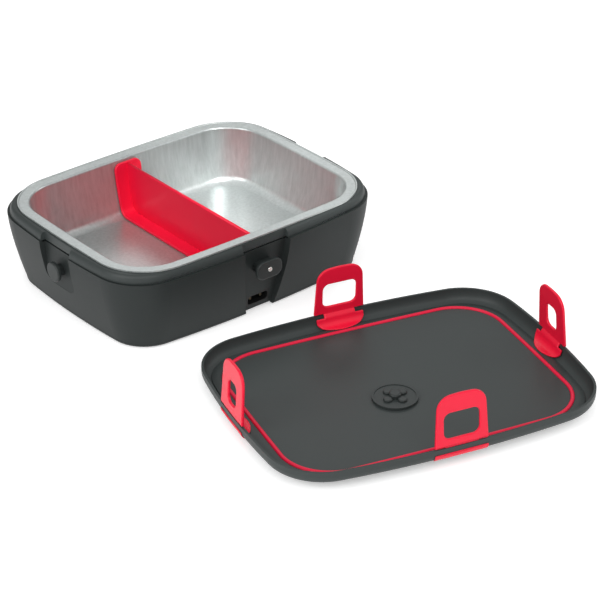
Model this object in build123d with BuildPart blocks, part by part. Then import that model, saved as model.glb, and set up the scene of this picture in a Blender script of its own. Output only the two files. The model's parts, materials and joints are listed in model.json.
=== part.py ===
"""Heated lunch box: a bowed rectangular base, a loose steel dish with a soft divider,
and a loose lid that lies upside down in front of the base.

Frame: millimetres, +Z up, origin on the table under the middle of the base,
X along the base's long side, -Y towards the lid.
"""

import os
from math import cos, hypot, radians, sin, sqrt, tan

from build123d import *

os.makedirs("parts", exist_ok=True)

# ---------------------------------------------------------------- outlines
# half length, half width, radius of the end bows, radius of the side bows, corner
HALF_LENGTH, HALF_WIDTH = 127.55, 100.8  # base, at the crease under the lid
BODY = (HALF_LENGTH, HALF_WIDTH, 5.76 * HALF_LENGTH, 9.53 * HALF_WIDTH, 42.0)
RIM = (HALF_LENGTH - 7.55, HALF_WIDTH - 6.6, 14.1 * HALF_LENGTH, 24.8 * HALF_WIDTH, 45.0)
LID = (HALF_LENGTH + 1.95, HALF_WIDTH + 0.6, 4.7 * HALF_LENGTH, 8.43 * HALF_WIDTH, 43.0)
COLLAR_GAP = 3.0  # lid's edge to collar, closed
COLLAR = tuple(value - COLLAR_GAP for value in LID)
GASKET = (RIM[0] - 7.4, RIM[1] - 8.5, 31.4 * HALF_LENGTH, 39.7 * HALF_WIDTH, 37.0)

# ---------------------------------------------------------------- straps, by the side they close on
STRAP_HALF = {  # half widths at the root and at the tip
    "front": (20.6, 18.4), "back": (20.6, 18.4), "left": (19.0, 17.0), "right": (19.0, 17.0),
}
STRAP_IN = 1.3  # strap's mid-plane, in from the lid's edge
STRAP_GAP = 0.2  # from the lid's edge up to the strap
STRAP_LEAN = 4.0  # degrees inwards, as moulded
STRAP_LENGTH, STRAP_T = 40.2, 2.2
STRAP_TIP_R, STRAP_BOW = 11.0, 1.2
WINDOW_GAP = 1.75  # round a wide peg's head
SIDE_WINDOW_GAP = 2.3  # round a round peg's stem
WINDOW_LOW, WINDOW_HIGH, WINDOW_R = 6.2, 26.2, 5.0
SIDE_WINDOW_LOW, SIDE_WINDOW_HIGH, SIDE_WINDOW_R = 7.5, 25.5, 4.5
TAB_HALF = {"front": 19.3, "back": 19.3, "left": 18.0, "right": 18.0}
TAB_REACH = 13.5
NOTCH_H, NECK_HALF = 2.3, 12.7
BRIDGE_HALF, BRIDGE_LOW, BRIDGE_HIGH = 12.0, 8.9, 11.4
PATCH_PROUD = 0.5

# ---------------------------------------------------------------- base
CREASE_Z = 60.0  # where the lid's skirt ends when the box is closed
TAPER_IN, TAPER_POWER = 12.4, 1.45  # how far the wall draws in towards the floor
WALL = 2.6
SKIRT_FLOOR_Z = 0.6  # lowest edge of the outer wall
FLANGE_Z, FLANGE_TOP, FLANGE_IN = 3.0, 5.0, 26.0
COLLAR_Z, COLLAR_H = CREASE_Z + 0.03, 6.57
COLLAR_TOP_Z = COLLAR_Z + COLLAR_H
COLLAR_LEAN, COLLAR_THICK = 2.8, 9.3
RECESS_GAP = 0.6  # either side of a strap's root
RECESS_IN = 5.6  # depth of the strap recesses at the crease
RECESS_DRAFT = 8.0
RECESS_SKIN = 2.0
RECESS_END_Z, RECESS_END_R = 26.0, 9.0  # foot of the recesses that fade out in the wall
FRONT_WAIST, FRONT_FOOT = 18.6, 14.5  # half widths of the front one, which goes to the table
FRONT_FLOOR_IN = 16.5  # and its depth there
PEG_Z = 41.7
PEG_PROUD, PEG_HEAD_T, PEG_LIP, PEG_ROUND = 2.0, 2.9, 3.2, 1.2
PEG_W, PEG_H, PEG_CORNER = 24.0, 15.0, 6.5  # heads of the front and back pegs
PEG_R = 8.0  # heads of the left and right pegs
PILOT_R, PILOT_PROUD = 1.9, 0.3

COVER_IN, COVER_Z, COVER_TOP = 19.2, 1.0, 2.9
SCREW_X, SCREW_Y = HALF_LENGTH - 67.55, HALF_WIDTH - 24.6
SCREW_R, SCREW_HEAD_R = 1.4, 2.6
FOOT_R, FOOT_X, FOOT_Y = 8.0, HALF_LENGTH - 41.55, HALF_WIDTH - 44.8
CENTRE_FOOT_R = 12.0

# inside the base, from the bottom up
PAD = (176.0, 100.0, 20.0)  # length, width, corner radius
PAD_Z, PAD_T = 5.4, 3.6
LOOP_X, LOOP_Y, LOOP_LEG, LOOP_END = 62.0, 40.0, 6.0, 52.0  # heating loop
LOOP_Z, LOOP_R, LOOP_BEND = 12.1, 2.2, 5.0
PLATE = (168.0, 118.0, 24.0)
PLATE_Z, PLATE_T = 14.4, 3.0
THERMOSTAT_R, THERMOSTAT_H = 8.0, 4.6
FUSE_R, FUSE_L, FUSE_X, FUSE_Y = 1.9, 13.0, 28.0, 22.0
LEAD_R, LEAD_Z = 1.3, 10.4

# power inlet, low in the front recess
INLET_W, INLET_H, INLET_Z = 23.0, 10.4, 9.6
SOCKET_W, SOCKET_H, SOCKET_DEPTH = 19.0, 7.6, 10.0
SOCKET_BACK_Y = 31.8 - HALF_WIDTH
PIN_R, PIN_X = 1.2, 5.0

# ---------------------------------------------------------------- dish and divider
RIM_Z, RIM_LIP = 67.5, 0.6
STEEL = 0.7
DISH_FLOOR_Z = 19.9
DISH_FILLET = 8.0
LINER_FLOOR_Z, LINER_WALL, LINER_FOOT_IN = 17.6, 1.0, 24.0
DIVIDER_X, DIVIDER_T = -0.5, 3.0
DIVIDER_WEB_TOP, DIVIDER_TOP = 63.2, 64.6
DIVIDER_FLANGE_HALF, DIVIDER_FLANGE_T, DIVIDER_CORNER = 12.8, 2.6, 6.0
DIVIDER_GAP = 0.4  # to the dish

# ---------------------------------------------------------------- lid
LID_Y, LID_TURN = -248.3, -15.31
LID_EDGE_Z = 16.9
PANEL_Z = 7.4
GASKET_Z, GASKET_HALF = 8.7, 1.5
VALVE_X, VALVE_Y = -8.8, -15.1
VALVE_R, VALVE_STEM_R, VALVE_LIP = 16.8, 6.0, 1.4
HUB_TOP_Z, HUB_R = 12.2, 4.6
LOBE_TOP_Z, LOBE_R, LOBE_OUT, LOBES = 10.4, 3.4, 7.4, 4
SKIRT_CURVE = [(0.0, 12.9), (0.3, 11.3), (0.9, 9.8), (2.0, 8.4), (3.6, 7.2)]  # inset, height

lid_plane = Plane(
    origin=(0, LID_Y, 0),
    x_dir=(cos(radians(LID_TURN)), sin(radians(LID_TURN)), 0),
    z_dir=(0, 0, 1),
)
SIDES = {"front": (0, -1), "back": (0, 1), "left": (-1, 0), "right": (1, 0)}
# on the upturned lid, the side that closes on the base's front faces the base
LID_SIDES = {"front": (0, 1), "back": (0, -1), "left": (-1, 0), "right": (1, 0)}


# ---------------------------------------------------------------- shape helpers
def taper(z):
    """How far the base's outer wall stands in from the crease at a height."""
    return TAPER_IN * (1 - z / CREASE_Z) ** TAPER_POWER


def reach(outline, side):
    """Half size of an outline towards a side."""
    return outline[1] if side[0] == 0 else outline[0]


def bowed_wire(outline, floor=Plane.XY, inset=0.0, z=0.0):
    """A bowed rectangle of tangent arcs, starting half way along its +X end."""
    hx, hy, end_r, side_r, r = (value - inset for value in outline)
    ax, ay = 0.0, hy - side_r
    bx, by = hx - end_r, 0.0
    ra, rb = side_r - r, end_r - r
    d = hypot(bx - ax, by - ay)
    along = (ra * ra - rb * rb + d * d) / (2 * d)
    off = sqrt(ra * ra - along * along)
    ux, uy = (bx - ax) / d, (by - ay) / d
    u, v = ax + along * ux + off * uy, ay + along * uy - off * ux
    side_t = (ax + (u - ax) * side_r / ra, ay + (v - ay) * side_r / ra)
    end_t = (bx + (u - bx) * end_r / rb, by + (v - by) * end_r / rb)
    nx = (side_t[0] + end_t[0] - 2 * u) / r
    ny = (side_t[1] + end_t[1] - 2 * v) / r
    n = hypot(nx, ny)
    mid = (u + r * nx / n, v + r * ny / n)
    half_y = end_t[1] / 2
    half_x = bx + sqrt(end_r * end_r - half_y * half_y)
    corners = [
        (hx, 0), (half_x, half_y), end_t, mid, side_t, (0, hy),
        (-side_t[0], side_t[1]), (-mid[0], mid[1]), (-end_t[0], end_t[1]), (-hx, 0),
        (-end_t[0], -end_t[1]), (-mid[0], -mid[1]), (-side_t[0], -side_t[1]), (0, -hy),
        (side_t[0], -side_t[1]), (mid[0], -mid[1]), (end_t[0], -end_t[1]),
        (half_x, -half_y), (hx, 0),
    ]
    spots = [floor.from_local_coords((x, y, z)) for x, y in corners]
    return Wire([Edge.make_three_point_arc(*spots[i : i + 3]) for i in range(0, 18, 2)])


def bowed_face(outline, floor=Plane.XY, inset=0.0, z=0.0):
    return Face(bowed_wire(outline, floor, inset, z))


def section(outline, runs, floor=Plane.XY):
    """A closed face across the +X wall. Each run is a line or, with more points, a curve."""
    edges = []
    for run in runs:
        spots = [floor.from_local_coords((outline[0] - inset, 0, z)) for inset, z in run]
        edges.append(Edge.make_line(*spots) if len(spots) == 2 else Edge.make_spline(spots))
    return Face(Wire(edges))


def lines(*points):
    """The straight runs of an open chain of points."""
    return [list(pair) for pair in zip(points, points[1:])]


def outward_plane(side, floor=Plane.XY):
    """Local x outwards, local y up, through the middle of a side."""
    out = floor.x_dir * side[0] + floor.y_dir * side[1]
    return Plane(origin=floor.origin, x_dir=out, z_dir=out.cross(floor.z_dir))


def facing_plane(side, distance, z, floor=Plane.XY):
    """Faces outwards, with local y up."""
    out = floor.x_dir * side[0] + floor.y_dir * side[1]
    origin = floor.origin + out * distance + floor.z_dir * z
    return Plane(origin=origin, x_dir=floor.z_dir.cross(out), z_dir=out)


def recess_half(name):
    """Half width of a recess in the wall's face at the crease, to take a strap's root."""
    return STRAP_HALF[name][0] + RECESS_GAP


def recess_floor(name):
    """The plane of a recess's floor, facing outwards: upright, but sloping at the front."""
    half = reach(BODY, SIDES[name])
    top, low = half - RECESS_IN, half - (FRONT_FLOOR_IN if name == "front" else RECESS_IN)
    out = outward_plane(SIDES[name])
    origin = out.from_local_coords((low, 0, 0))
    normal = out.from_local_coords((low + CREASE_Z, low - top, 0)) - origin
    return Plane(origin=origin, z_dir=normal)


def front_recess():
    """The space of the front recess: it narrows and deepens down to the table."""
    side = SIDES["front"]
    half = reach(BODY, side)
    top, low = half - RECESS_IN, half - FRONT_FLOOR_IN
    narrow = (top - low) * tan(radians(RECESS_DRAFT))
    widths = [w - narrow for w in (recess_half("front"), FRONT_WAIST, FRONT_FOOT)]
    with BuildPart() as space:
        with BuildSketch(facing_plane(side, low, 0)):
            with BuildLine():
                Line((-widths[2], -5), (widths[2], -5))
                Line((widths[2], -5), (widths[2], 2))
                ThreePointArc((widths[2], 2), (widths[1], 28), (widths[0], CREASE_Z))
                Line((widths[0], CREASE_Z), (widths[0], COLLAR_TOP_Z + 5))
                Line((widths[0], COLLAR_TOP_Z + 5), (-widths[0], COLLAR_TOP_Z + 5))
                Line((-widths[0], COLLAR_TOP_Z + 5), (-widths[0], CREASE_Z))
                ThreePointArc((-widths[0], CREASE_Z), (-widths[1], 28), (-widths[2], 2))
                Line((-widths[2], 2), (-widths[2], -5))
            make_face()
        extrude(amount=FRONT_FLOOR_IN + 6, taper=-RECESS_DRAFT)
        far = half + 8
        with BuildSketch(outward_plane(side)):
            with BuildLine():
                Polyline((low - (top - low) / 12, -5), (top, CREASE_Z), (top, COLLAR_TOP_Z + 4),
                         (far, COLLAR_TOP_Z + 4), (far, -5), close=True)
            make_face()
        extrude(amount=60, both=True, mode=Mode.INTERSECT)
    return space.part


def side_recess(name):
    """The space of the other recesses: an upright floor with rounded lower corners."""
    side = SIDES[name]
    width = 2 * (recess_half(name) - RECESS_IN * tan(radians(RECESS_DRAFT)))
    height = COLLAR_TOP_Z + 4 - RECESS_END_Z
    with BuildPart() as space:
        with BuildSketch(facing_plane(side, reach(BODY, side) - RECESS_IN, 0)) as outline:
            with Locations((0, RECESS_END_Z + height / 2)):
                Rectangle(width, height)
            fillet(outline.vertices().group_by(Axis.Y)[0], RECESS_END_R)
        extrude(amount=RECESS_IN + 6, taper=-RECESS_DRAFT)
    return space.part


spaces = {"front": front_recess()}
spaces |= {name: side_recess(name) for name in ("back", "left", "right")}

# ================================================================ BASE
with BuildPart() as housing:
    heights = (4.0, 12.0, 22.0, 34.0, 46.0, CREASE_Z)
    outer = [(taper(z), z) for z in heights]
    inner = [(taper(z) + WALL, z) for z in reversed(heights[1:])]
    foot = (taper(heights[0]) + 2.0, SKIRT_FLOOR_Z)
    wall = section(
        BODY,
        [[foot, (taper(heights[0]) + 0.8, 1.4), outer[0]], outer]
        + lines(outer[-1], inner[0])
        + [inner]
        + lines(
            inner[-1], (15.0, FLANGE_TOP), (FLANGE_IN, FLANGE_TOP),
            (FLANGE_IN, FLANGE_Z), (15.6, FLANGE_Z), (15.6, SKIRT_FLOOR_Z), foot,
        ),
    )
    sweep(sections=wall, path=bowed_wire(BODY))
    # backs and sides of the strap recesses
    for name, side in SIDES.items():
        half = reach(BODY, side)
        end = RECESS_END_Z - 2
        top = half - max(RECESS_IN + RECESS_SKIN, taper(end) + WALL / 2 + 0.3)
        skin = [(half - taper(z) - WALL / 2, z) for z in (58.5, 46.0, 34.0, end)]
        foot = [(top, end)]
        if name == "front":
            skin += [(half - taper(z) - WALL / 2, z) for z in (12.0, 4.0)]
            foot = [(half - 13.8, 1.4), (half - FRONT_FLOOR_IN - RECESS_SKIN + 0.4, 1.4)]
        with BuildSketch(outward_plane(side)):
            with BuildLine():
                Polyline((top, 58.5), *skin, *foot, close=True)
            make_face()
        extrude(amount=recess_half(name) + 2.8, both=True)
    for space in spaces.values():
        add(space, mode=Mode.SUBTRACT)
    # opening for the power inlet
    with BuildSketch(Plane.XZ.offset(HALF_WIDTH - 40.8)):
        with Locations((0, INLET_Z)):
            Rectangle(INLET_W, INLET_H)
    extrude(amount=45, mode=Mode.SUBTRACT)
    # screw posts on the bottom flange
    for x in (-SCREW_X, SCREW_X):
        for y in (-SCREW_Y, SCREW_Y):
            with BuildSketch(Plane.XY.offset(FLANGE_Z + 0.5)):
                with Locations((x, y)):
                    Circle(3.6)
            extrude(amount=6.0)
            with BuildSketch(Plane.XY.offset(FLANGE_Z - 0.5)):
                with Locations((x, y)):
                    Circle(SCREW_R + 0.1)
            extrude(amount=6.1, mode=Mode.SUBTRACT)
housing.part.label = "housing"

with BuildPart() as collar:
    curve = [(0.0, 0.0), (0.1, 0.26), (0.6, 0.58), (1.5, 0.85), (COLLAR_LEAN, 1.0)]
    curve = [(inset, COLLAR_Z + COLLAR_H * part) for inset, part in curve]
    band = section(
        COLLAR,
        [curve]
        + lines(
            curve[-1], (COLLAR_THICK, COLLAR_TOP_Z), (COLLAR_THICK, COLLAR_Z), curve[0]
        ),
    )
    sweep(sections=band, path=bowed_wire(COLLAR))
    for space in spaces.values():
        add(space, mode=Mode.SUBTRACT)
collar.part.label = "collar"

with BuildPart() as inner_liner:
    tub = section(
        RIM,
        lines((1.2, 58.8), (1.2, 60.0), (9.0, 60.0))
        + [[(9.0, 60.0), (10.0, 50.0), (14.4, 27.4)]]
        + [[(14.4, 27.4), (16.4, 21.6), (22.6, LINER_FLOOR_Z + LINER_WALL)]]
        + lines(
            (22.6, LINER_FLOOR_Z + LINER_WALL), (LINER_FOOT_IN, LINER_FLOOR_Z + LINER_WALL),
            (LINER_FOOT_IN, LINER_FLOOR_Z), (22.2, LINER_FLOOR_Z),
        )
        + [[(22.2, LINER_FLOOR_Z), (15.5, 21.0), (13.3, 27.2)]]
        + [[(13.3, 27.2), (8.9, 50.0), (8.1, 58.8)]]
        + lines((8.1, 58.8), (1.2, 58.8)),
    )
    sweep(sections=tub, path=bowed_wire(RIM))
    floor = bowed_face(RIM, inset=LINER_FOOT_IN - 0.1, z=LINER_FLOOR_Z)
    extrude(floor, amount=LINER_WALL, dir=(0, 0, 1))
inner_liner.part.label = "inner_liner"

with BuildPart() as bottom_cover:
    extrude(bowed_face(BODY, inset=COVER_IN, z=COVER_Z), amount=COVER_TOP - COVER_Z, dir=(0, 0, 1))
    for x in (-SCREW_X, SCREW_X):
        for y in (-SCREW_Y, SCREW_Y):
            with BuildSketch(Plane.XY.offset(COVER_Z)):
                with Locations((x, y)):
                    Circle(SCREW_HEAD_R + 0.3)
            extrude(amount=0.9, mode=Mode.SUBTRACT)
            with BuildSketch(Plane.XY.offset(COVER_Z)):
                with Locations((x, y)):
                    Circle(SCREW_R + 0.2)
            extrude(amount=3.0, mode=Mode.SUBTRACT)
bottom_cover.part.label = "bottom_cover"

with BuildPart() as cover_screws:
    for x in (-SCREW_X, SCREW_X):
        for y in (-SCREW_Y, SCREW_Y):
            with BuildSketch(Plane.XY.offset(COVER_Z + 0.1)):
                with Locations((x, y)):
                    Circle(SCREW_HEAD_R)
            extrude(amount=0.7)
            with BuildSketch(Plane.XY.offset(COVER_Z + 0.8)):
                with Locations((x, y)):
                    Circle(SCREW_R)
            extrude(amount=6.0)
cover_screws.part.label = "cover_screws"

with BuildPart() as feet:
    with BuildSketch():
        with Locations(*[(x, y) for x in (-FOOT_X, FOOT_X) for y in (-FOOT_Y, FOOT_Y)]):
            Circle(FOOT_R)
        Circle(CENTRE_FOOT_R)
    extrude(amount=COVER_Z)
feet.part.label = "feet"

with BuildPart() as heating_plate:
    with BuildSketch(Plane.XY.offset(PLATE_Z)):
        RectangleRounded(*PLATE)
    extrude(amount=PLATE_T)
heating_plate.part.label = "heating_plate"

with BuildPart() as heating_element:
    # a tubular loop clamped under the plate, open at the front for its two ends
    half_loop = [(LOOP_LEG, -LOOP_END), (LOOP_LEG, -LOOP_Y), (LOOP_X, -LOOP_Y), (LOOP_X, LOOP_Y)]
    with BuildLine(Plane.XY.offset(LOOP_Z)) as loop:
        FilletPolyline(
            *[(-x, y) for x, y in half_loop], *reversed(half_loop), radius=LOOP_BEND
        )
    with BuildSketch(Plane(origin=(-LOOP_LEG, -LOOP_END, LOOP_Z), z_dir=(0, 1, 0))):
        Circle(LOOP_R)
    sweep(path=loop.wires()[0])
heating_element.part.label = "heating_element"

with BuildPart() as insulation_pad:
    with BuildSketch(Plane.XY.offset(PAD_Z)):
        RectangleRounded(*PAD)
    extrude(amount=PAD_T)
insulation_pad.part.label = "insulation_pad"

with BuildPart() as thermostat:
    low = PLATE_Z - 0.2 - THERMOSTAT_H
    with BuildSketch(Plane.XY.offset(low)):
        Circle(THERMOSTAT_R)
    extrude(amount=THERMOSTAT_H)
    with BuildSketch(Plane.XY.offset(low - 0.2)):
        with Locations((-THERMOSTAT_R - 3, 0), (THERMOSTAT_R + 3, 0)):
            Rectangle(8, 4)
    extrude(amount=0.8)
thermostat.part.label = "thermostat"

with BuildPart() as thermal_fuse:
    with BuildSketch(Plane.YZ.offset(FUSE_X)):
        with Locations((FUSE_Y, PLATE_Z - 0.5 - FUSE_R)):
            Circle(FUSE_R)
    extrude(amount=FUSE_L)
thermal_fuse.part.label = "thermal_fuse"

with BuildPart() as leads:
    # two insulated wires from the inlet's rear to the ends of the heating loop
    for x in (-LOOP_LEG, LOOP_LEG):
        with BuildSketch(Plane.XZ.offset(LOOP_END + 0.2)):
            with Locations((x, LOOP_Z)):
                Circle(LEAD_R)
        extrude(amount=8.0)
        with BuildSketch(Plane.XZ.offset(LOOP_END + 8.0)):
            with Locations((x, LEAD_Z)):
                Circle(LEAD_R)
        extrude(amount=-SOCKET_BACK_Y - LOOP_END - 8.1)
        with BuildSketch(Plane.XY.offset(LEAD_Z)):
            with Locations((x, -LOOP_END - 8.1)):
                Circle(LEAD_R)
        extrude(amount=LOOP_Z - LEAD_Z)
leads.part.label = "leads"

with BuildPart() as inlet_socket:
    with BuildSketch(Plane.XZ.offset(-SOCKET_BACK_Y)):
        with Locations((0, INLET_Z)):
            Rectangle(INLET_W - 0.2, INLET_H - 0.2)
    extrude(amount=30)
    split(bisect_by=recess_floor("front"), keep=Keep.BOTTOM)
    # flange behind the wall
    with BuildSketch(Plane.XZ.offset(-SOCKET_BACK_Y)):
        with Locations((0, INLET_Z)):
            Rectangle(INLET_W + 5, INLET_H - 2.4)
    extrude(amount=4.0)
    with BuildSketch(Plane.XZ.offset(HALF_WIDTH - 12.8)):
        with Locations((0, INLET_Z)):
            RectangleRounded(SOCKET_W, SOCKET_H, 2.6)
    extrude(amount=-SOCKET_DEPTH - 3.0, mode=Mode.SUBTRACT)
inlet_socket.part.label = "inlet_socket"

with BuildPart() as inlet_pins:
    for x in (-PIN_X, PIN_X):
        with BuildSketch(Plane.XZ.offset(HALF_WIDTH - 25.7)):
            with Locations((x, INLET_Z)):
                Circle(PIN_R)
        extrude(amount=8.0)
inlet_pins.part.label = "inlet_pins"


def peg_outline(name, inset=0.0):
    """Draws a peg's head, or its stem with an inset: round at the sides, wide front and back."""
    if name in ("left", "right"):
        Circle(PEG_R - inset)
    else:
        RectangleRounded(PEG_W - 2 * inset, PEG_H - 2 * inset, PEG_CORNER - inset)


def peg(name):
    """A strap peg: a stem on the recess's floor, and a wider head that holds the strap."""
    side = SIDES[name]
    half = reach(BODY, side)
    neck = half + PEG_PROUD - PEG_HEAD_T
    with BuildPart() as post:
        with BuildSketch(facing_plane(side, half - FRONT_FLOOR_IN, PEG_Z)):
            peg_outline(name, PEG_LIP)
        extrude(amount=neck - half + FRONT_FLOOR_IN + 0.1)
        split(bisect_by=recess_floor(name), keep=Keep.TOP)
        with BuildSketch(facing_plane(side, neck, PEG_Z)):
            peg_outline(name)
        extrude(amount=PEG_HEAD_T)
        outward = Axis((0, 0, 0), (side[0], side[1], 0))
        fillet(post.faces().sort_by(outward)[-1].edges(), PEG_ROUND)
    return post.part


pilot_plane = facing_plane(
    SIDES["front"], reach(BODY, SIDES["front"]) + PEG_PROUD + PILOT_PROUD, PEG_Z
)

with BuildPart() as front_peg:
    add(peg("front"))
    with BuildSketch(pilot_plane):
        Circle(PILOT_R + 0.1)
    extrude(amount=-3.3, mode=Mode.SUBTRACT)
front_peg.part.label = "front_peg"

with BuildPart() as pilot_light:
    with BuildSketch(pilot_plane):
        Circle(PILOT_R)
    extrude(amount=-3.2)
    fillet(pilot_light.faces().sort_by(Axis.Y)[0].edges(), 0.6)
pilot_light.part.label = "pilot_light"

with BuildPart() as back_peg:
    add(peg("back"))
back_peg.part.label = "back_peg"

with BuildPart() as side_pegs:
    add(peg("left"))
    add(peg("right"))
side_pegs.part.label = "side_pegs"

# ================================================================ DISH
with BuildPart() as dish:
    lip = RIM_Z + RIM_LIP
    steel = section(
        RIM,
        lines((0, RIM_Z - STEEL), (0, lip), (0.9, lip), (1.5, RIM_Z), (8.2, RIM_Z))
        + [[(8.2, RIM_Z), (9.3, 67.0), (9.9, 65.6)]]
        + [[(9.9, 65.6), (11.6, 50.0), (16.0, 27.9)]]
        + [[(16.0, 27.9), (18.4, 22.4), (24.0, DISH_FLOOR_Z)]]
        + lines(
            (24.0, DISH_FLOOR_Z), (25.0, DISH_FLOOR_Z), (25.0, DISH_FLOOR_Z - STEEL),
            (23.8, DISH_FLOOR_Z - STEEL),
        )
        + [[(23.8, DISH_FLOOR_Z - STEEL), (17.8, 21.9), (15.3, 27.8)]]
        + [[(15.3, 27.8), (10.9, 50.0), (9.2, 65.6)]]
        + lines((9.2, 65.6), (8.2, RIM_Z - STEEL), (0, RIM_Z - STEEL)),
    )
    sweep(sections=steel, path=bowed_wire(RIM))
    extrude(bowed_face(RIM, inset=24.9, z=DISH_FLOOR_Z - STEEL), amount=STEEL, dir=(0, 0, 1))
dish.part.label = "dish"

def dish_profile(inset, foot_z):
    """Half of the dish's inside across its width, from the rim down to the floor."""
    half = RIM[1] - inset
    wall = [(half - 9.9, 65.6), (half - 11.6, 50.0), (half - 16.0, 27.9)]
    curl = [wall[-1], (half - 18.3, 22.4 + foot_z), (half - 24.2, DISH_FLOOR_Z + foot_z)]
    return wall, curl


def inside_dish(plane, inset, foot_z, depth):
    """A slab of the dish's inside, drawn in by an inset and raised off its floor."""
    wall, curl = dish_profile(inset, foot_z)
    with BuildPart() as slab:
        with BuildSketch(plane):
            with BuildLine():
                Spline(*wall)
                Spline(*curl)
                Line(curl[-1], (-curl[-1][0], curl[-1][1]))
                Spline(*[(-y, z) for y, z in reversed(curl)])
                Spline(*[(-y, z) for y, z in reversed(wall)])
                Line((-wall[0][0], wall[0][1]), wall[0])
            make_face()
        extrude(amount=depth)
    return slab.part


with BuildPart() as divider:
    low_x = DIVIDER_X - DIVIDER_FLANGE_HALF
    add(inside_dish(Plane.YZ.offset(low_x), DIVIDER_GAP, DIVIDER_GAP, 2 * DIVIDER_FLANGE_HALF))
    # hollow out both sides, leaving the web, the end flanges and the foot flange
    inner = (DIVIDER_GAP + DIVIDER_FLANGE_T, DIVIDER_GAP + 2.2)
    depth = DIVIDER_FLANGE_HALF - DIVIDER_T / 2 + 1
    add(inside_dish(Plane.YZ.offset(low_x - 1), *inner, depth), mode=Mode.SUBTRACT)
    add(inside_dish(Plane.YZ.offset(DIVIDER_X + DIVIDER_T / 2), *inner, depth), mode=Mode.SUBTRACT)
    # rounded tops of the end flanges
    with BuildSketch(Plane.XZ.offset(-HALF_WIDTH)) as tops:
        with Locations((DIVIDER_X, DIVIDER_TOP / 2)):
            Rectangle(2 * DIVIDER_FLANGE_HALF, DIVIDER_TOP)
        fillet(tops.vertices().group_by(Axis.Y)[-1], DIVIDER_CORNER)
    extrude(amount=2 * HALF_WIDTH, mode=Mode.INTERSECT)
    # the web's top edge, a little lower than the flanges
    with BuildSketch(Plane.YZ.offset(low_x - 1)):
        with Locations((0, DIVIDER_WEB_TOP + 5)):
            reach_y = RIM[1] - 9.9 - DIVIDER_GAP - DIVIDER_FLANGE_T
            Rectangle(2 * reach_y - 1, 10)
    extrude(amount=2 * DIVIDER_FLANGE_HALF + 2, mode=Mode.SUBTRACT)
    web_top = divider.faces().filter_by(Axis.Z).group_by(Axis.Z)[-2:]
    long_edges = [e for group in web_top for f in group for e in f.edges() if e.length > RIM[1]]
    fillet(long_edges, 0.4 * DIVIDER_T)
divider.part.label = "divider"

# ================================================================ LID
with BuildPart() as lid_shell:
    outer = SKIRT_CURVE + [(9.0, 4.0), (16.0, 1.6), (27.0, 0.0)]
    inner = [(27.0, 1.6), (16.5, 3.0), (10.0, 5.0), (6.6, 6.6), (3.7, 8.9), (2.5, 11.4),
             (1.9, LID_EDGE_Z)]
    skin = section(
        LID,
        lines((0.0, LID_EDGE_Z), outer[0]) + [outer] + lines(outer[-1], inner[0])
        + [inner] + lines(inner[-1], (0.0, LID_EDGE_Z)),
        lid_plane,
    )
    sweep(sections=skin, path=bowed_wire(LID, lid_plane))
    extrude(bowed_face(LID, lid_plane, inset=26.9), amount=1.6, dir=(0, 0, 1))
    with BuildSketch(lid_plane):
        with Locations((VALVE_X, VALVE_Y)):
            Circle(VALVE_STEM_R + 0.4)
    extrude(amount=4.0, mode=Mode.SUBTRACT)
    for side in LID_SIDES.values():  # slots that the strap roots pass through
        half = reach(LID, side)
        with BuildSketch(outward_plane(side, lid_plane)):
            with Locations((half, (BRIDGE_LOW + BRIDGE_HIGH) / 2)):
                Rectangle(16, BRIDGE_HIGH - BRIDGE_LOW + 0.4)
        extrude(amount=BRIDGE_HALF + 0.2, both=True, mode=Mode.SUBTRACT)
lid_shell.part.label = "lid_shell"

with BuildPart() as lid_inner:
    panel = section(
        LID,
        [[(7.5, 6.9), (9.4, 7.25), (13.0, PANEL_Z)]]
        + lines((13.0, PANEL_Z), (27.0, PANEL_Z), (27.0, 5.4), (12.0, 5.4))
        + [[(12.0, 5.4), (9.6, 5.7), (7.7, 6.5)]]
        + lines((7.7, 6.5), (7.5, 6.9)),
        lid_plane,
    )
    sweep(sections=panel, path=bowed_wire(LID, lid_plane))
    extrude(bowed_face(LID, lid_plane, inset=26.9, z=5.4), amount=PANEL_Z - 5.4, dir=(0, 0, 1))
    w = GASKET_HALF + 0.15
    groove = section(
        GASKET, lines((-w, 6.3), (-w, 8.2), (w, 8.2), (w, 6.3), (-w, 6.3)), lid_plane
    )
    sweep(sections=groove, path=bowed_wire(GASKET, lid_plane), mode=Mode.SUBTRACT)
    with BuildSketch(lid_plane.offset(4.0)):
        with Locations((VALVE_X, VALVE_Y)):
            Circle(VALVE_STEM_R + 0.4)
    extrude(amount=5.0, mode=Mode.SUBTRACT)
lid_inner.part.label = "lid_inner"

with BuildPart() as gasket:
    g = GASKET_HALF
    bead = section(
        GASKET,
        lines((-g, 6.4), (g, 6.4), (g, 7.4))
        + [[(g, 7.4), (g * 0.7, 8.35), (0.0, GASKET_Z), (-g * 0.7, 8.35), (-g, 7.4)]]
        + lines((-g, 7.4), (-g, 6.4)),
        lid_plane,
    )
    sweep(sections=bead, path=bowed_wire(GASKET, lid_plane))
gasket.part.label = "gasket"

with BuildPart() as valve_disc:
    with BuildSketch(lid_plane.offset(PANEL_Z + 0.3)):
        with Locations((VALVE_X, VALVE_Y)):
            Circle(VALVE_R)
    extrude(amount=1.1)
    with BuildSketch(lid_plane.offset(PANEL_Z + 1.4)):
        with Locations((VALVE_X, VALVE_Y)):
            Circle(VALVE_R)
            Circle(VALVE_R - VALVE_LIP, mode=Mode.SUBTRACT)
    extrude(amount=0.5)
    with BuildSketch(lid_plane.offset(0.4)):
        with Locations((VALVE_X, VALVE_Y)):
            Circle(VALVE_STEM_R)
    extrude(amount=PANEL_Z)
valve_disc.part.label = "valve_disc"

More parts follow.
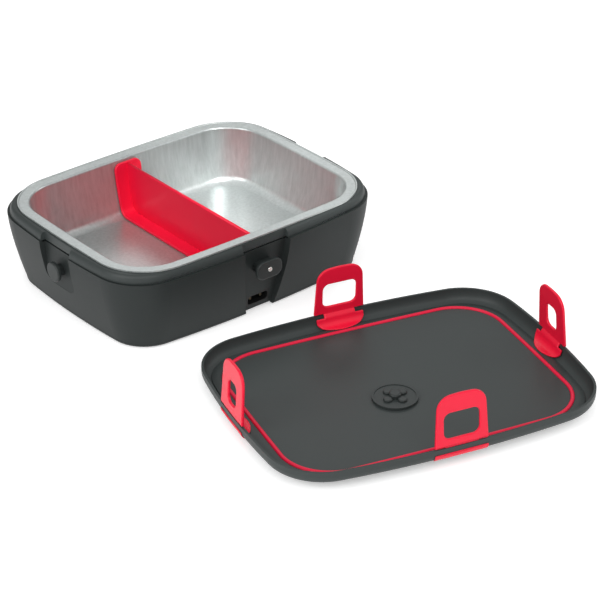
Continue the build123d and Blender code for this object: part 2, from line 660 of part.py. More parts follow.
with BuildPart() as valve_hub:
    with BuildSketch(lid_plane.offset(PANEL_Z + 1.4)):
        with Locations((VALVE_X, VALVE_Y)):
            with PolarLocations(LOBE_OUT, LOBES, start_angle=20):
                Circle(LOBE_R)
            with PolarLocations(LOBE_OUT / 2, LOBES, start_angle=20):
                Rectangle(LOBE_OUT, LOBE_R)
    extrude(amount=LOBE_TOP_Z - PANEL_Z - 1.4)
    fillet(valve_hub.faces().sort_by(Axis.Z)[-1].edges(), 0.9)
    with BuildSketch(lid_plane.offset(PANEL_Z + 1.4)):
        with Locations((VALVE_X, VALVE_Y)):
            Circle(HUB_R)
    extrude(amount=HUB_TOP_Z - PANEL_Z - 1.4)
    fillet(valve_hub.faces().sort_by(Axis.Z)[-1].edges(), 1.4)
valve_hub.part.label = "valve_hub"


# ================================================================ STRAPS
with BuildPart() as patch_ring:
    # a thin band just proud of the skirt, cut up below into the four outer patches
    face = [(i - 0.12, z - 0.06) for i, z in SKIRT_CURVE]
    proud = [(i - PATCH_PROUD, z - PATCH_PROUD / 2) for i, z in reversed(face)]
    band = section(
        LID,
        lines(proud[-1], face[0]) + [face] + lines(face[-1], proud[0]) + [proud],
        lid_plane,
    )
    sweep(sections=band, path=bowed_wire(LID, lid_plane))


def anchor(name):
    """The part of a strap that is moulded into the lid: tab inside, patch outside."""
    side = LID_SIDES[name]
    half = reach(LID, side)
    wide = TAB_HALF[name]
    out = outward_plane(side, lid_plane)
    top_z = LID_EDGE_Z - 0.1
    with BuildPart() as root:
        upper = [(half - 4.3, top_z), (half - 4.5, 12.2), (half - 5.9, 9.8), (half - 7.6, 8.45),
                 (half - TAB_REACH, 8.35)]
        lower = [(half - TAB_REACH, 7.55), (half - 8.4, 7.6), (half - 6.3, 8.4),
                 (half - 4.6, 9.7), (half - 3.2, 11.4), (half - 2.6, top_z)]
        with BuildSketch(out):
            with BuildLine():
                Polyline(*upper, *lower, close=True)
            make_face()
        extrude(amount=wide, both=True)
        # half-round outline
        with BuildSketch(facing_plane(side, half - TAB_REACH, 5, lid_plane)):
            Rectangle(2 * wide + 2, 40)
        extrude(amount=TAB_REACH, mode=Mode.INTERSECT)
        with BuildSketch(lid_plane.offset(5)):
            with BuildLine():
                spots = [out.from_local_coords((d, 0, z)) for d, z in (
                    (half - 5.0, wide), (half - TAB_REACH, 0), (half - 5.0, -wide),
                    (half, -wide), (half, wide))]
                flat = [(p.X, p.Y) for p in map(lid_plane.to_local_coords, spots)]
                ThreePointArc(*flat[:3])
                Polyline(*flat[2:], flat[0])
            make_face()
        extrude(amount=14, mode=Mode.INTERSECT)
        # a notch at each side of the neck that carries the strap
        for end in (-1, 1):
            with BuildSketch(facing_plane(side, half - 6, top_z, lid_plane)):
                with Locations((end * (NECK_HALF + wide) / 2, 0)):
                    Rectangle(wide - NECK_HALF, 2 * NOTCH_H)
            extrude(amount=6, mode=Mode.SUBTRACT)
        # bridge through the skirt to the patch that shows outside
        with BuildSketch(out):
            with BuildLine():
                Polyline((half - 5.2, BRIDGE_HIGH), (half - 0.1, BRIDGE_HIGH),
                         (half - 0.6, BRIDGE_LOW), (half - 5.2, BRIDGE_LOW + 0.4), close=True)
            make_face()
        extrude(amount=BRIDGE_HALF, both=True)
        with BuildPart(mode=Mode.PRIVATE) as patch:
            add(patch_ring.part)
            with BuildSketch(out):
                with Locations((half, 10)):
                    Rectangle(16, 20)
            extrude(amount=STRAP_HALF[name][0], both=True, mode=Mode.INTERSECT)
        add(patch.part)
    return root.part


def strap_plane(side):
    """A strap's mid-plane: origin at its root, local y along it, local z outwards."""
    out = lid_plane.x_dir * side[0] + lid_plane.y_dir * side[1]
    lean = radians(STRAP_LEAN)
    along = lid_plane.z_dir * cos(lean) - out * sin(lean)
    face = out * cos(lean) + lid_plane.z_dir * sin(lean)
    root = reach(LID, side) - STRAP_IN
    origin = lid_plane.origin + out * root + lid_plane.z_dir * (LID_EDGE_Z + STRAP_GAP)
    return Plane(origin=origin, x_dir=along.cross(face), z_dir=face)


def window(name):
    """Width, lower and upper end, and corner radius of a strap's window."""
    if name in ("left", "right"):
        width = 2 * (PEG_R - PEG_LIP + SIDE_WINDOW_GAP)
        return width, SIDE_WINDOW_LOW, SIDE_WINDOW_HIGH, SIDE_WINDOW_R
    return PEG_W + 2 * WINDOW_GAP, WINDOW_LOW, WINDOW_HIGH, WINDOW_R


def strap(name):
    """A flat silicone loop with a window that hooks over the base's peg."""
    root, tip = STRAP_HALF[name]
    width, low, high, r = window(name)
    shoulder = STRAP_LENGTH - STRAP_BOW
    with BuildPart() as loop:
        with BuildSketch(strap_plane(LID_SIDES[name])) as flat:
            with BuildLine():
                Polyline((-tip, shoulder), (-root, 0), (root, 0), (tip, shoulder))
                ThreePointArc((tip, shoulder), (0, STRAP_LENGTH), (-tip, shoulder))
            make_face()
            fillet(flat.vertices().group_by(Axis.Y)[-1], STRAP_TIP_R)
            with Locations((0, (low + high) / 2)):
                RectangleRounded(width, high - low, r, mode=Mode.SUBTRACT)
        extrude(amount=STRAP_T / 2, both=True)
    return loop.part


with BuildPart() as anchor_front:
    add(anchor("front"))
anchor_front.part.label = "anchor_front"

with BuildPart() as anchor_back:
    add(anchor("back"))
anchor_back.part.label = "anchor_back"

with BuildPart() as anchor_left:
    add(anchor("left"))
anchor_left.part.label = "anchor_left"

with BuildPart() as anchor_right:
    add(anchor("right"))
anchor_right.part.label = "anchor_right"

with BuildPart() as strap_front:
    add(strap("front"))
strap_front.part.label = "strap_front"

with BuildPart() as strap_back:
    add(strap("back"))
strap_back.part.label = "strap_back"

with BuildPart() as strap_left:
    add(strap("left"))
strap_left.part.label = "strap_left"

with BuildPart() as strap_right:
    add(strap("right"))
strap_right.part.label = "strap_right"

# ================================================================ export
for name, built in {
    "housing": housing, "collar": collar, "inner_liner": inner_liner,
    "bottom_cover": bottom_cover, "cover_screws": cover_screws, "feet": feet,
    "heating_plate": heating_plate, "heating_element": heating_element,
    "insulation_pad": insulation_pad, "thermostat": thermostat,
    "thermal_fuse": thermal_fuse, "leads": leads,
    "inlet_socket": inlet_socket, "inlet_pins": inlet_pins,
    "front_peg": front_peg, "pilot_light": pilot_light,
    "back_peg": back_peg, "side_pegs": side_pegs,
    "dish": dish, "divider": divider,
    "lid_shell": lid_shell, "lid_inner": lid_inner, "gasket": gasket,
    "valve_disc": valve_disc, "valve_hub": valve_hub,
    "anchor_front": anchor_front, "anchor_back": anchor_back,
    "anchor_left": anchor_left, "anchor_right": anchor_right,
    "strap_front": strap_front, "strap_back": strap_back,
    "strap_left": strap_left, "strap_right": strap_right,
}.items():
    solids = built.part.solids()
    print(name, len(solids), round(built.part.volume, 1), built.part.is_valid)
    export_step(built.part, f"parts/{name}.step")
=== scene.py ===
"""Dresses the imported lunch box: materials, soft straps, camera, floor and light."""

import json
from math import cos, pi, radians, sin, tan

import bmesh
import bpy
from mathutils import Matrix, Vector


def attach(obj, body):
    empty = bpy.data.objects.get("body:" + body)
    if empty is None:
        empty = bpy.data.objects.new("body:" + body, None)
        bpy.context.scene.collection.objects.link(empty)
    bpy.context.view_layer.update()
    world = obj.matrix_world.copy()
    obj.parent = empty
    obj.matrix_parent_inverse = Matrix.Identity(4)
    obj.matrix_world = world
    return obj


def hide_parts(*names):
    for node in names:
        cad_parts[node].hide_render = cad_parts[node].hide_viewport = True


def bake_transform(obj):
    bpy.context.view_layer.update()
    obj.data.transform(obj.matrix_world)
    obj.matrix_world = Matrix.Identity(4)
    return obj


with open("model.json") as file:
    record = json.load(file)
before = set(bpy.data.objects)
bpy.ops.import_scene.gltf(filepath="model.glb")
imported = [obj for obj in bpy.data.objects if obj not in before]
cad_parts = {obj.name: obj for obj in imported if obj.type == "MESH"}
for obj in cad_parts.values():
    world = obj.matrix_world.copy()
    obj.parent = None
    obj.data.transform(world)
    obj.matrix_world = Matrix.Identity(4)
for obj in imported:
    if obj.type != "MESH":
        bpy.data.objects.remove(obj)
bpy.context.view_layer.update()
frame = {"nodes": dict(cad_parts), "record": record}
nodes = frame["nodes"]
MM = 0.001

# ---------------------------------------------------------------- camera
FOCAL_PX, IMAGE_PX, SENSOR_MM = 2183.2, 600, 36.0
AZIMUTH, ELEVATION, ROLL = radians(-38.99), radians(29.65), radians(-0.58)
DISTANCE = 1.7009
TARGET = Vector((0.03344, -0.09691, 0.0))

back = Vector(
    (sin(AZIMUTH) * cos(ELEVATION), -cos(AZIMUTH) * cos(ELEVATION), sin(ELEVATION))
)
level_x = Vector((0, 0, 1)).cross(back).normalized()
level_y = back.cross(level_x)
cam_x = cos(ROLL) * level_x + sin(ROLL) * level_y
cam_y = -sin(ROLL) * level_x + cos(ROLL) * level_y
cam_data = bpy.data.cameras.new("camera")
cam_data.sensor_width = SENSOR_MM
cam_data.lens = FOCAL_PX / IMAGE_PX * SENSOR_MM
cam_data.clip_end = 20
camera = bpy.data.objects.new("camera", cam_data)
bpy.context.scene.collection.objects.link(camera)
turn = Matrix((cam_x, cam_y, back)).transposed().to_4x4()
camera.matrix_world = Matrix.Translation(TARGET + DISTANCE * back) @ turn
bpy.context.scene.camera = camera


# ---------------------------------------------------------------- materials
def new_material(name):
    mat = bpy.data.materials.new(name)
    mat.use_nodes = True
    tree = mat.node_tree
    shader = tree.nodes["Principled BSDF"]
    return mat, tree, shader


def add_node(tree, kind, **values):
    node = tree.nodes.new(kind)
    for key, value in values.items():
        if key in node.inputs:
            node.inputs[key].default_value = value
        else:
            setattr(node, key, value)
    return node


def noise(tree, scale, detail=4.0, rough=0.55, stretch=(1, 1, 1)):
    """A noise in object space, drawn out along an axis by a small stretch value."""
    coords = add_node(tree, "ShaderNodeTexCoord")
    mapping = add_node(tree, "ShaderNodeMapping")
    mapping.inputs["Scale"].default_value = stretch
    tex = add_node(tree, "ShaderNodeTexNoise", Scale=scale, Detail=detail, Roughness=rough)
    tree.links.new(coords.outputs["Object"], mapping.inputs["Vector"])
    tree.links.new(mapping.outputs["Vector"], tex.inputs["Vector"])
    return tex


def ramp(tree, source, stops):
    node = add_node(tree, "ShaderNodeValToRGB")
    elements = node.color_ramp.elements
    while len(elements) < len(stops):
        elements.new(0.5)
    for element, (place, colour) in zip(elements, stops):
        element.position = place
        element.color = (*colour, 1.0)
    tree.links.new(source, node.inputs["Fac"])
    return node


def span(tree, source, low, high):
    """Maps a 0..1 value to a range."""
    node = add_node(tree, "ShaderNodeMapRange")
    node.inputs["To Min"].default_value = low
    node.inputs["To Max"].default_value = high
    tree.links.new(source, node.inputs["Value"])
    return node.outputs["Result"]


def bump(tree, shader, height, distance, strength):
    node = add_node(tree, "ShaderNodeBump")
    node.inputs["Strength"].default_value = strength
    node.inputs["Distance"].default_value = distance
    tree.links.new(height, node.inputs["Height"])
    tree.links.new(node.outputs["Normal"], shader.inputs["Normal"])


def grey(value, tint=(1.0, 1.0, 1.0)):
    return tuple(value * t for t in tint)


def moulded(name, colour, roughness, grain=0.12, specular=0.3, spread=0.07):
    """Moulded plastic with a fine spark-eroded texture and faint cloudy variation."""
    mat, tree, shader = new_material(name)
    cloud = noise(tree, 9.0, 3.0)
    fine = noise(tree, 2600.0, 2.0, 0.6)
    low = tuple(c * (1 - spread) for c in colour)
    high = tuple(c * (1 + spread) for c in colour)
    tone = ramp(tree, cloud.outputs["Fac"], [(0.3, low), (0.7, high)])
    tree.links.new(tone.outputs["Color"], shader.inputs["Base Color"])
    tree.links.new(
        span(tree, cloud.outputs["Fac"], roughness - 0.04, roughness + 0.05),
        shader.inputs["Roughness"],
    )
    shader.inputs["Specular IOR Level"].default_value = specular
    bump(tree, shader, fine.outputs["Fac"], 0.00012, grain)
    return mat


def silicone(name, colour, roughness=0.34, sheen=0.0):
    """Soft moulded rubber: saturated, with a dusty sheen and a faint grain."""
    mat, tree, shader = new_material(name)
    cloud = noise(tree, 14.0, 3.0)
    fine = noise(tree, 1800.0, 2.0, 0.6)
    low = tuple(c * 0.95 for c in colour)
    high = tuple(min(1.0, c * 1.05) for c in colour)
    tone = ramp(tree, cloud.outputs["Fac"], [(0.3, low), (0.7, high)])
    tree.links.new(tone.outputs["Color"], shader.inputs["Base Color"])
    tree.links.new(
        span(tree, cloud.outputs["Fac"], roughness - 0.04, roughness + 0.06),
        shader.inputs["Roughness"],
    )
    shader.inputs["Specular IOR Level"].default_value = 0.28
    shader.inputs["Sheen Weight"].default_value = sheen
    shader.inputs["Sheen Roughness"].default_value = 0.5
    bump(tree, shader, fine.outputs["Fac"], 0.0001, 0.2)
    return mat


def metal(name, colour, roughness, brush=(1, 1, 0.02), amount=0.3, scale=900.0, purity=1.0,
          streak=0.06):
    """Drawn or brushed sheet metal: fine lines along one axis."""
    mat, tree, shader = new_material(name)
    strokes = noise(tree, scale, 4.0, 0.7, brush)
    cloud = noise(tree, 12.0, 3.0)
    low = tuple(c * (1 - streak) for c in colour)
    high = tuple(min(1.0, c * (1 + streak)) for c in colour)
    tone = ramp(tree, strokes.outputs["Fac"], [(0.3, low), (0.7, high)])
    tree.links.new(tone.outputs["Color"], shader.inputs["Base Color"])
    shader.inputs["Metallic"].default_value = purity
    mix = add_node(tree, "ShaderNodeMath", operation="ADD")
    tree.links.new(span(tree, strokes.outputs["Fac"], -0.05, 0.06), mix.inputs[0])
    tree.links.new(
        span(tree, cloud.outputs["Fac"], roughness - 0.03, roughness + 0.04), mix.inputs[1]
    )
    tree.links.new(mix.outputs[0], shader.inputs["Roughness"])
    bump(tree, shader, strokes.outputs["Fac"], 0.00006, amount)
    return mat


SHELL_TINT = (0.86, 1.05, 1.03)
RED = (0.70, 0.006, 0.034)
materials = {
    "shell": moulded("shell_plastic", grey(0.020, SHELL_TINT), 0.5, specular=0.2),
    "lid_shell": moulded("lid_plastic", grey(0.036, SHELL_TINT), 0.5),
    "lid_panel": moulded("panel_plastic", grey(0.036, SHELL_TINT), 0.46),
    "peg_dark": moulded("peg_plastic", grey(0.022, SHELL_TINT), 0.45),
    "cover": moulded("cover_plastic", grey(0.03), 0.6, 0.6),
    "socket_black": moulded("socket_plastic", grey(0.008), 0.5),
    "valve_grey": moulded("valve_plastic", grey(0.030, SHELL_TINT), 0.46),
    "valve_hub_dark": moulded("hub_plastic", grey(0.024, SHELL_TINT), 0.4),
    "thermostat_body": moulded("bakelite", (0.10, 0.04, 0.02), 0.35),
    "fuse_body": moulded("fuse_ceramic", (0.6, 0.58, 0.5), 0.4),
    "foot_rubber": silicone("foot_rubber", grey(0.02), 0.7),
    "lead_sleeve": silicone("lead_sleeve", (0.7, 0.7, 0.68), 0.5),
    "red_silicone": silicone("red_silicone", RED),
    "gasket_silicone": silicone("gasket_silicone", (0.62, 0.006, 0.040), 0.4),
    "insulation": silicone("felt_pad", (0.72, 0.7, 0.64), 0.9),
    "dish_steel": metal(
        "dish_steel", (0.43, 0.46, 0.455), 0.32, amount=0.6, scale=420.0, purity=0.7, streak=0.12
    ),
    "screw_steel": metal("screw_steel", (0.5, 0.5, 0.5), 0.3),
    "element_steel": metal("element_steel", (0.3, 0.28, 0.26), 0.4),
    "liner_aluminium": metal("liner_aluminium", (0.72, 0.72, 0.72), 0.4),
    "plate_aluminium": metal("plate_aluminium", (0.6, 0.6, 0.6), 0.5),
    # painted shade: the brass pins are coloured almost black, so they sink into the dark of the
    # socket's recess
    "pin_brass": metal("pin_brass", (0.06, 0.05, 0.035), 0.45),
    "pilot_metal": metal("pilot_metal", (0.85, 0.84, 0.8), 0.22, (1, 1, 1), 0.1),
}
# painted light: the collar band gets a lighter copy of the shell's tinted plastic, standing in
# for the light the band catches
collar_plastic_painted_light = moulded("collar_plastic_painted_light", grey(0.032, SHELL_TINT), 0.48)
for entry in frame["record"]["subparts"]:
    obj = nodes[entry["node"]]
    mat = collar_plastic_painted_light if entry["node"] == "collar" else materials[entry["material_slot"]]
    if not obj.material_slots:
        obj.data.materials.append(mat)
    for slot in obj.material_slots:
        slot.material = mat


# ---------------------------------------------------------------- soft sheets
def rounded(corners, steps=7):
    """A closed outline whose corners (x, y, radius) are rounded with arcs."""
    points = []
    count = len(corners)
    for i, (x, y, r) in enumerate(corners):
        here = Vector((x, y))
        if r == 0:
            points.append(here)
            continue
        before = (Vector(corners[i - 1][:2]) - here).normalized()
        after = (Vector(corners[(i + 1) % count][:2]) - here).normalized()
        half = before.angle(after) / 2
        centre = here + (before + after).normalized() * (r / sin(half))
        first = here + before * (r / tan(half)) - centre
        sweep = (pi - 2 * half) * (1 if before.cross(after) < 0 else -1)
        for k in range(steps + 1):
            a = sweep * k / steps
            points.append(
                centre + Vector((first.x * cos(a) - first.y * sin(a),
                                 first.x * sin(a) + first.y * cos(a)))
            )
    return points


def arc(start, middle, end, steps):
    """Points of an arc through three places, without its two ends."""
    (ax, ay), (bx, by), (cx, cy) = start, middle, end
    d = 2 * (ax * (by - cy) + bx * (cy - ay) + cx * (ay - by))
    a2, b2, c2 = ax * ax + ay * ay, bx * bx + by * by, cx * cx + cy * cy
    ux = (a2 * (by - cy) + b2 * (cy - ay) + c2 * (ay - by)) / d
    uy = (a2 * (cx - bx) + b2 * (ax - cx) + c2 * (bx - ax)) / d
    centre = Vector((ux, uy))
    first, last = Vector(start) - centre, Vector(end) - centre
    turn_by = first.angle_signed(last)
    if (Vector(middle) - centre).dot(first + last) < 0:
        turn_by -= 2 * pi if turn_by > 0 else -2 * pi
    points = []
    for k in range(1, steps):
        a = -turn_by * k / steps
        points.append(centre + Vector((first.x * cos(a) - first.y * sin(a),
                                       first.x * sin(a) + first.y * cos(a))))
    return points


def smooth_line(points, step=0.25):
    """A curve through points, resampled at even steps: place, direction and length so far."""
    fine = []
    for i in range(len(points) - 1):
        p0 = Vector(points[max(i - 1, 0)])
        p1, p2 = Vector(points[i]), Vector(points[i + 1])
        p3 = Vector(points[min(i + 2, len(points) - 1)])
        span_len = (p2 - p1).length
        m1 = (p2 - p0) * (span_len / max((p2 - p0).length, 1e-9))
        m2 = (p3 - p1) * (span_len / max((p3 - p1).length, 1e-9))
        parts = max(2, int(span_len / step))
        for k in range(parts):
            t = k / parts
            fine.append(
                (2 * t**3 - 3 * t**2 + 1) * p1 + (t**3 - 2 * t**2 + t) * m1
                + (3 * t**2 - 2 * t**3) * p2 + (t**3 - t**2) * m2
            )
    fine.append(Vector(points[-1]))
    lengths = [0.0]
    for a, b in zip(fine, fine[1:]):
        lengths.append(lengths[-1] + (b - a).length)
    return fine, lengths


def place_on(line, s):
    """Place and unit direction at a length along a smooth line, straight past its ends."""
    fine, lengths = line
    i = 0
    while i < len(lengths) - 2 and lengths[i + 1] < s:
        i += 1
    way = (fine[i + 1] - fine[i]).normalized()
    return fine[i] + way * (s - lengths[i]), way


def length_at(line, value, axis, falling):
    """Length along a line where one of its coordinates passes a value."""
    fine, lengths = line
    for point, length in zip(fine, lengths):
        if (point[axis] <= value) if falling else (point[axis] >= value):
            return length
    return lengths[-1]


def plate(name, outlines, thickness, edge, cuts, bend):
    """A soft plate: a flat outline with round edges, cut across and then bent into place."""
    curve = bpy.data.curves.new(name, "CURVE")
    curve.dimensions = "2D"
    curve.fill_mode = "BOTH"
    curve.extrude = thickness / 2 - edge
    curve.bevel_depth = edge
    curve.bevel_resolution = 2
    curve.offset = -edge
    for outline in outlines:
        spline = curve.splines.new("POLY")
        spline.points.add(len(outline) - 1)
        for point, (x, y) in zip(spline.points, outline):
            point.co = (x, y, 0, 1)
        spline.use_cyclic_u = True
    holder = bpy.data.objects.new(name + "_outline", curve)
    mesh = bpy.data.meshes.new_from_object(holder)
    bpy.data.objects.remove(holder)
    bpy.data.curves.remove(curve)
    bm = bmesh.new()
    bm.from_mesh(mesh)
    bmesh.ops.remove_doubles(bm, verts=bm.verts, dist=0.004)
    bm.normal_update()
    for up in (1, -1):
        flat = [f for f in bm.faces if f.normal.z * up > 0.999]
        bmesh.ops.inset_region(bm, faces=flat, thickness=0.3, use_even_offset=False)
    for s in cuts:
        whole = bm.verts[:] + bm.edges[:] + bm.faces[:]
        bmesh.ops.bisect_plane(bm, geom=whole, dist=1e-4, plane_co=(0, s, 0), plane_no=(0, 1, 0))
    bmesh.ops.triangulate(bm, faces=[f for f in bm.faces if len(f.verts) > 4])
    for vert in bm.verts:
        vert.co = bend(*vert.co) * MM
    for face in bm.faces:
        face.smooth = True
    bmesh.ops.recalc_face_normals(bm, faces=bm.faces)
    bm.to_mesh(mesh)
    bm.free()
    obj = bpy.data.objects.new(name, mesh)
    bpy.context.scene.collection.objects.link(obj)
    return obj


def join(main, *others):
    """Puts the meshes of other objects into the first one."""
    bm = bmesh.new()
    for obj in (main, *others):
        bm.from_mesh(obj.data)
    bm.to_mesh(main.data)
    bm.free()
    for obj in others:
        bpy.data.objects.remove(obj)


# ---------------------------------------------------------------- straps, in the lid's frame
LID_Y, LID_TURN = -248.3, radians(-15.31)
LID_X_AXIS = Vector((cos(LID_TURN), sin(LID_TURN), 0))
LID_Y_AXIS = Vector((-sin(LID_TURN), cos(LID_TURN), 0))
EDGE_FRONT, EDGE_SIDE = 101.4, 129.5  # lid's middle to its edge
BOW_FRONT, BOW_SIDE = 849.8, 599.5  # radii of the lid's sides
# inset from the lid's edge, height
TAB_LINE = [(13.3, 7.95), (10.6, 7.97), (8.2, 8.12), (6.6, 8.85), (5.2, 10.3), (4.35, 12.0),
            (3.95, 13.6), (3.55, 14.9), (2.55, 16.2), (1.6, 17.3), (1.36, 18.6)]
PATCH_LINE = [(-0.35, 12.7), (-0.10, 11.2), (0.5, 9.6), (1.6, 8.2), (3.2, 7.0)]
LEAN, STRAP_IN = radians(4.0), 1.3
ROOT_Z, ROOT_SPAN = 17.1, (15.4, 20.4)  # middle and ends of the part that bends
STRAP_T, STRAP_EDGE_R, STRAP_LENGTH = 2.2, 0.75, 40.2
TIP_DROP, TIP_CORNER, TIP_ARC = 1.2, 11.0, 75.0  # the tip: bow, corner radius, middle radius
ROOT_S, ROOT_CORNER, NECK_CORNER = 0.1, 0.9, 0.5
NECK_HALF, NOTCH_Z = 12.7, 14.6
TAB_WALL_IN, TAB_REACH = 5.0, 13.1  # insets where the tab's half-round end starts and stops
PATCH_T, PATCH_EDGE_R, PATCH_CORNER = 0.62, 0.3, 0.8
STRAPS = {  # side: outward direction, lid edge, bow, half widths, window, tab's half width
    "front": ((0, 1), EDGE_FRONT, BOW_FRONT, (20.6, 18.4), (13.75, 6.2, 26.2, 5.0), 19.3),
    "back": ((0, -1), EDGE_FRONT, BOW_FRONT, (20.6, 18.4), (13.75, 6.2, 26.2, 5.0), 19.3),
    "left": ((-1, 0), EDGE_SIDE, BOW_SIDE, (19.0, 17.0), (7.1, 7.5, 25.5, 4.5), 18.0),
    "right": ((1, 0), EDGE_SIDE, BOW_SIDE, (19.0, 17.0), (7.1, 7.5, 25.5, 4.5), 18.0),
}
tab_line = smooth_line(TAB_LINE)
root_at = length_at(tab_line, ROOT_Z, 1, False)
notch_at = length_at(tab_line, NOTCH_Z, 1, False) - root_at
wall_at = length_at(tab_line, TAB_WALL_IN, 0, True) - root_at


def lid_point(side, across, inset, z, edge):
    """A point in the row's frame from its place beside, in from and above a side's edge."""
    out = Vector((side[0], side[1]))
    beside = Vector((-out.y, out.x))
    local = out * (edge - inset) + beside * across
    return local.x * LID_X_AXIS + local.y * LID_Y_AXIS + Vector((0, LID_Y, z))


def make_strap(name):
    side, edge, bow, (root, tip), (win, low, high, win_r), tab = STRAPS[name]
    # the tab's half-round end is drawn in plan, so it is carried over to the flat pattern
    plan = arc((tab, TAB_WALL_IN), (0, TAB_REACH), (-tab, TAB_WALL_IN), 26)
    curl = [(u, length_at(tab_line, inset, 0, True) - root_at, 0) for u, inset in plan]
    # half of the outline, from the tip's corner down to the tab
    sides = [
        (tip, STRAP_LENGTH - TIP_DROP, TIP_CORNER), (root, ROOT_S, ROOT_CORNER),
        (NECK_HALF, ROOT_S, NECK_CORNER), (NECK_HALF, notch_at, NECK_CORNER),
        (tab, notch_at, ROOT_CORNER), (tab, wall_at, 0),
    ]
    outline = rounded(
        [(-u, s, r) for u, s, r in sides] + curl[::-1] + sides[::-1]
        + [(0, STRAP_LENGTH, TIP_ARC)]
    )
    hole = rounded(
        [(-win, low, win_r), (win, low, win_r), (win, high, win_r), (-win, high, win_r)]
    )
    cuts = [notch_at - 7.5 + 0.75 * k for k in range(24)] + [12.0, 18.0, 24.0, 30.0, 35.0]
    free_from = place_on(tab_line, tab_line[1][-1])[0]

    def bend(u, s, h):
        length = s + root_at
        if length < tab_line[1][-1]:
            place, way = place_on(tab_line, length)
        else:
            way = Vector((sin(LEAN), cos(LEAN)))
            place = free_from + way * (length - tab_line[1][-1])
        thin = min(1.0, 0.45 + 0.55 * max(0.0, length / (root_at + 1.0)))
        normal = Vector((-way.y, way.x))
        inset, z = place + normal * (h * thin)
        return lid_point(side, u, inset, z, edge)

    label = "strap_" + name + "_soft"
    strap = plate(label, [outline, hole], STRAP_T, STRAP_EDGE_R, cuts, bend)

    # the patch on the skirt's outside, a thin strip that follows the bowed edge
    line = smooth_line(PATCH_LINE)
    long = line[1][-1]
    corners = [(-root, 0), (-root, long), (root, long), (root, 0)]
    strip = rounded([(u, s, PATCH_CORNER) for u, s in corners])

    def wrap(u, s, h):
        place, way = place_on(line, s)
        inset, z = place + Vector((-way.y, way.x)) * h
        return lid_point(side, u, inset + u * u / (2 * bow), z, edge)

    rows = [0.7 * k for k in range(1, 10)]
    patch = plate("patch_" + name, [strip], PATCH_T, PATCH_EDGE_R, rows, wrap)
    join(strap, patch)
    strap.data.materials.clear()
    strap.data.materials.append(materials["red_silicone"])
    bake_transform(strap)
    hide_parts("strap_" + name, "anchor_" + name)


for name in STRAPS:
    make_strap(name)

# ---------------------------------------------------------------- divider
DIVIDER_X, WEB_T, WEB_EDGE_R = -0.5, 3.0, 1.2
FLANGE_T, FLANGE_EDGE_R, FLANGE_HALF, FLANGE_CORNER = 2.6, 0.9, 12.8, 6.0
# half of the flange's mid-line inside the dish: across, height
half_line = [(82.6, 64.6), (81.85, 58.0), (80.9, 50.0), (79.0, 39.5), (76.55, 28.2),
             (75.1, 24.6), (72.4, 22.3), (68.3, 21.45)]
u_line = smooth_line(half_line + [(40.0, 21.4), (0.0, 21.4), (-40.0, 21.4)]
                     + [(-y, z) for y, z in reversed(half_line)], 0.5)
total = u_line[1][-1]
corners = [(-FLANGE_HALF, 0), (FLANGE_HALF, 0), (FLANGE_HALF, total), (-FLANGE_HALF, total)]
band = rounded([(u, s, FLANGE_CORNER) for u, s in corners])
bend_cuts = [2.0 * k for k in range(1, 31)]
bend_cuts += [total - s for s in bend_cuts]


def place_band(u, s, h):
    (y, z), way = place_on(u_line, s)
    return Vector((DIVIDER_X + u, y - way.y * h, z + way.x * h))


flanges = plate("divider_soft", [band], FLANGE_T, FLANGE_EDGE_R, bend_cuts, place_band)
web_corners = [(82.2, 63.2, 0)] + [(y, z, 0) for y, z in half_line[1:]]
web = rounded(web_corners + [(-y, z, r) for y, z, r in reversed(web_corners)])


def place_web(y, z, h):
    return Vector((DIVIDER_X + h, y, z))


web_plate = plate("web", [web], WEB_T, WEB_EDGE_R, [], place_web)
join(flanges, web_plate)
flanges.data.materials.clear()
flanges.data.materials.append(materials["red_silicone"])
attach(flanges, "divider")
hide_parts("divider")

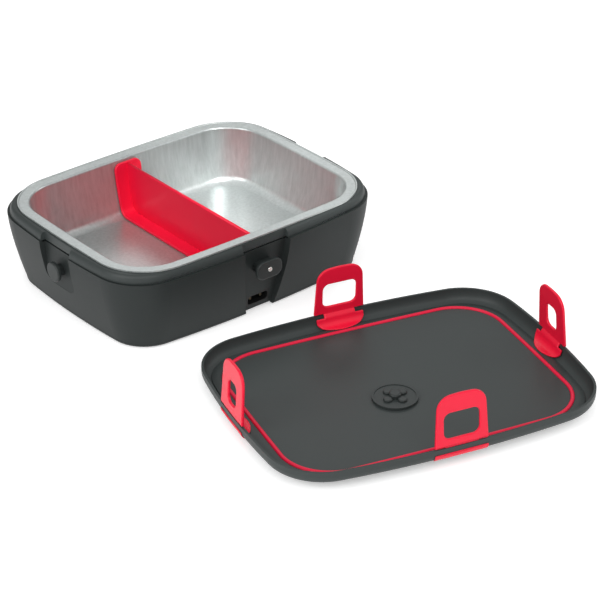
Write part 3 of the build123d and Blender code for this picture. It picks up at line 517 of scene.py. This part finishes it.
# ---------------------------------------------------------------- floor and light
bpy.ops.mesh.primitive_plane_add(size=6, location=(0, 0, -0.0002))
floor = bpy.context.object
floor.name = "floor"
floor_mat, tree, shader = new_material("floor_paper")
speck = noise(tree, 3.0, 2.0)
tone = ramp(tree, speck.outputs["Fac"], [(0.3, (0.86, 0.86, 0.86)), (0.7, (0.88, 0.88, 0.88))])
tree.links.new(tone.outputs["Color"], shader.inputs["Base Color"])
shader.inputs["Roughness"].default_value = 0.9
shader.inputs["Emission Color"].default_value = (1, 1, 1, 1)
shader.inputs["Emission Strength"].default_value = 0.35
floor.data.materials.append(floor_mat)

# a soft dome, brighter overhead than at the horizon
world = bpy.data.worlds.new("studio")
world.use_nodes = True
sky = world.node_tree
direction = add_node(sky, "ShaderNodeTexCoord")
split_up = add_node(sky, "ShaderNodeSeparateXYZ")
sky.links.new(direction.outputs["Generated"], split_up.inputs["Vector"])
glow = ramp(sky, split_up.outputs["Z"], [(0.0, grey(0.30)), (0.45, grey(0.62)), (1.0, grey(1.0))])
sky.links.new(glow.outputs["Color"], sky.nodes["Background"].inputs["Color"])
sky.nodes["Background"].inputs["Strength"].default_value = 0.8
bpy.context.scene.world = world


def aimed_light(data, place, aim):
    lamp = bpy.data.objects.new(data.name, data)
    bpy.context.scene.collection.objects.link(lamp)
    way = Vector(aim) - Vector(place)
    turned = way.to_track_quat("-Z", "Y").to_matrix().to_4x4()
    lamp.matrix_world = Matrix.Translation(place) @ turned


def area_light(name, place, aim, size, power):
    data = bpy.data.lights.new(name, "AREA")
    data.shape = "RECTANGLE"
    data.size, data.size_y = size
    data.energy = power
    aimed_light(data, place, aim)


area_light("key", (-1.7, -0.2, 1.0), (0, -0.1, 0), (1.0, 1.0), 18)
area_light("front", (-0.8, -1.8, 1.5), (0, -0.1, 0), (1.6, 1.2), 22)
area_light("rim", (1.2, 1.4, 1.5), (0, 0, 0), (1.2, 0.8), 4)
area_light("fill", (1.6, -0.9, 0.9), (0, -0.1, 0), (1.2, 1.0), 8)

# a soft pool of light in the dish's right half
pool = bpy.data.lights.new("pool", "SPOT")
pool.energy, pool.spot_size, pool.spot_blend, pool.shadow_soft_size = 115, radians(8), 1.0, 0.05
aimed_light(pool, (0.02, -0.69, 0.81), (0.072, 0.03, 0.03))
bpy.context.scene.view_settings.view_transform = "Standard"
